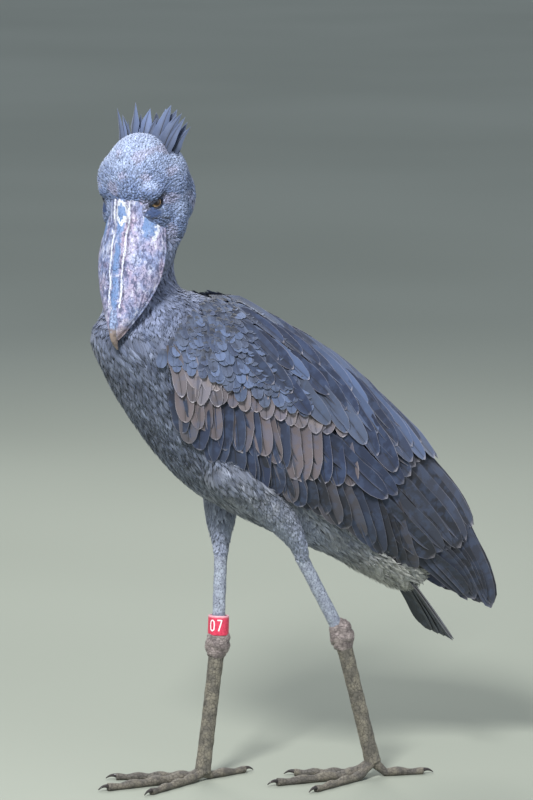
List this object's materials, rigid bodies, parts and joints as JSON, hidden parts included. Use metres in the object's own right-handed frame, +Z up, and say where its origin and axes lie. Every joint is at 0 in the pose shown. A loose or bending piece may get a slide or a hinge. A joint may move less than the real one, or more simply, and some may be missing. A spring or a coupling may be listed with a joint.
{
  "type": "shoebill",
  "caption": "Standing shoebill with its head turned and its broad hooked bill held down on its neck, folded slate-blue wings and a plain red leg band.",
  "frame": {"origin": "centre of the bounding box at the floor under the feet", "axes": "+Z up, -Y the way the body faces, +X the bird's left"},
  "size_m": [0.28, 0.6969, 1.099],
  "materials": {
    "crown_feathers": "short light blue-grey feathers, soft and matte",
    "bill_horn": "chalky mottled horn, grey-blue and pinkish lilac, faint grooves",
    "eye": "wet, dark pupil in a dull golden-tan ring",
    "neck_feathers": "streaky blue-grey feathers",
    "body_feathers": "loose grey-blue feathers with dark shaft streaks",
    "wing_feathers": "smooth slate-blue and brown-grey vanes with pale rims",
    "tail_feathers": "blackish slate vanes",
    "thigh_feathers": "short pale blue-grey down",
    "shank_skin": "pale grey skin with fine dark scales",
    "ankle_skin": "grey-brown wrinkled skin",
    "tarsus_skin": "brown-grey scutes, dry and matte",
    "claw_horn": "dark worn horn",
    "band_plastic": "red plastic with a worn pale rim and plain white digits"
  },
  "bodies": {
    "root": {"ankle_left": "ankle_skin", "ankle_right": "ankle_skin", "bill_lower": "bill_horn", "bill_upper": "bill_horn", "claw_hind_left": "claw_horn", "claw_hind_right": "claw_horn", "claw_inner_left": "claw_horn", "claw_inner_right": "claw_horn", "claw_middle_left": "claw_horn", "claw_middle_right": "claw_horn", "claw_outer_left": "claw_horn", "claw_outer_right": "claw_horn", "eye_left": "eye", "eye_right": "eye", "head": "crown_feathers", "leg_band": "band_plastic", "neck": "neck_feathers", "shank_left": "shank_skin", "shank_right": "shank_skin", "tail": "tail_feathers", "tarsus_left": "tarsus_skin", "tarsus_right": "tarsus_skin", "thigh_left": "thigh_feathers", "thigh_right": "thigh_feathers", "toe_hind_left": "tarsus_skin", "toe_hind_right": "tarsus_skin", "toe_inner_left": "tarsus_skin", "toe_inner_right": "tarsus_skin", "toe_middle_left": "tarsus_skin", "toe_middle_right": "tarsus_skin", "toe_outer_left": "tarsus_skin", "toe_outer_right": "tarsus_skin", "torso": "body_feathers", "wing_left": "wing_feathers", "wing_right": "wing_feathers"}
  },
  "joints": []
}
